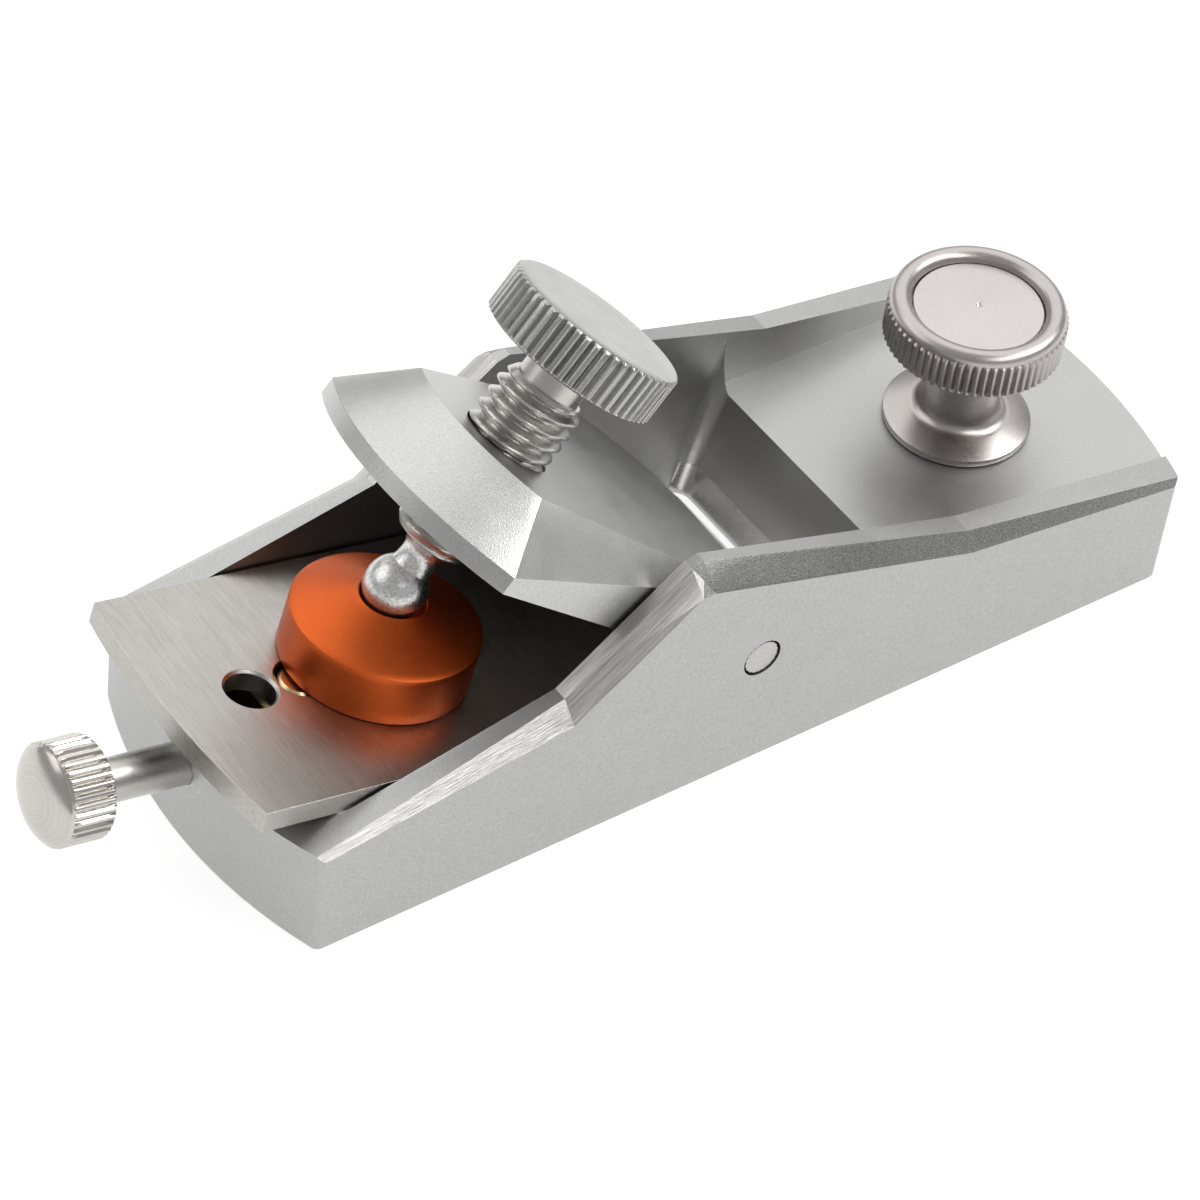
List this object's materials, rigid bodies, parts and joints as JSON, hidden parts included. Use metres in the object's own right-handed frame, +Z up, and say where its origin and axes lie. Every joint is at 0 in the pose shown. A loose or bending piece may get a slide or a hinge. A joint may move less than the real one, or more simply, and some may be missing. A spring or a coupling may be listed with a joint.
{
  "type": "low-angle block plane",
  "caption": "Small metal low-angle block plane with lever cap, ball-ended clamp screw, depth adjuster and sliding toe plate",
  "frame": {"origin": "centre of the sole, midway between heel and toe", "axes": "+X toward the toe (cutting direction), +Z up from the sole, +Y to the left of the plane seen from the heel"},
  "size_m": [0.1627, 0.0498, 0.0681],
  "materials": {
    "body_steel": "bead-blasted stainless steel, machined cheek tops",
    "plate_steel": "surface-ground stainless steel",
    "blade_steel": "cross-ground hardened tool steel",
    "cap_steel": "bead-blasted stainless steel",
    "pin_steel": "ground flush with the cheeks",
    "screw_steel": "turned and polished",
    "screw_head_steel": "straight knurled rim, satin top",
    "ball_steel": "polished",
    "pad_orange": "orange anodised, fine turned",
    "adjuster_steel": "polished, straight knurled rim",
    "knob_steel": "satin turned, knurled rim",
    "knob_disc_steel": "fine turned",
    "peg_brass": "turned",
    "hidden_steel": "plain turned steel",
    "carriage_brass": "milled"
  },
  "bodies": {
    "plane_body": {"body": "body_steel", "cross_pin": "pin_steel", "adjuster_bushing": "hidden_steel"},
    "toe": {"toe_plate": "plate_steel", "front_knob_stud": "hidden_steel"},
    "front_knob": {"front_knob_rim": "knob_steel", "front_knob_disc": "knob_disc_steel", "front_knob_stem": "knob_steel", "front_knob_cap_screw": "hidden_steel"},
    "cap": {"lever_cap": "cap_steel"},
    "ball_end": {"thumb_screw_ball": "ball_steel"},
    "thumb_screw": {"thumb_screw_spindle": "screw_steel", "thumb_screw_head": "screw_head_steel"},
    "pad": {"pressure_pad": "pad_orange"},
    "adjuster": {"adjuster_knob": "adjuster_steel", "lead_screw": "screw_steel", "thrust_washer": "hidden_steel", "thrust_collar": "hidden_steel", "collar_set_screw": "hidden_steel"},
    "iron": {"blade": "blade_steel", "blade_carriage": "carriage_brass", "carriage_peg": "peg_brass"}
  },
  "joints": [
    {"name": "toe_plate_slide", "type": "slide", "parent": "plane_body", "child": "toe", "axis": [1, 0, 0], "range_m": [-0.0003, 0.005]},
    {"name": "front_knob_turn", "type": "hinge", "parent": "toe", "child": "front_knob", "pos_m": [0.0486, 0, 0.02], "axis": [0, 0, 1], "range_deg": [0, 360]},
    {"name": "depth_adjuster_turn", "type": "hinge", "parent": "plane_body", "child": "adjuster", "pos_m": [-0.07027, 0, 0.01264], "axis": [0.9767, 0, -0.2147], "range_deg": [-720.1, 225.1]},
    {"name": "iron_slide", "type": "slide", "parent": "plane_body", "child": "iron", "axis": [0.9767, 0, -0.2147], "range_m": [-0.0016, 0.0005]},
    {"name": "lever_cap_tilt", "type": "hinge", "parent": "plane_body", "child": "cap", "pos_m": [-0.002, 0, 0.0188], "axis": [0, 1, 0], "range_deg": [-4, 0]},
    {"name": "screw_lift", "type": "slide", "parent": "cap", "child": "ball_end", "axis": [0.6347, 0, 0.7727], "range_m": [0, 0.00285]},
    {"name": "thumb_screw_turn", "type": "hinge", "parent": "ball_end", "child": "thumb_screw", "pos_m": [-0.02652, 0, 0.04623], "axis": [0.6347, 0, 0.7727], "range_deg": [0, 541]},
    {"name": "pad_shift", "type": "slide", "parent": "plane_body", "child": "pad", "axis": [0.9767, 0, -0.2147], "range_m": [0, 0.0014]}
  ],
  "couplings": [
    {"joint": "depth_adjuster_turn", "follows": "iron_slide", "rad_per_m": 7854},
    {"joint": "thumb_screw_turn", "follows": "screw_lift", "rad_per_m": 3306.9},
    {"joint": "lever_cap_tilt", "follows": "screw_lift", "rad_per_m": -21.8},
    {"joint": "pad_shift", "follows": "screw_lift", "ratio": 0.45}
  ]
}
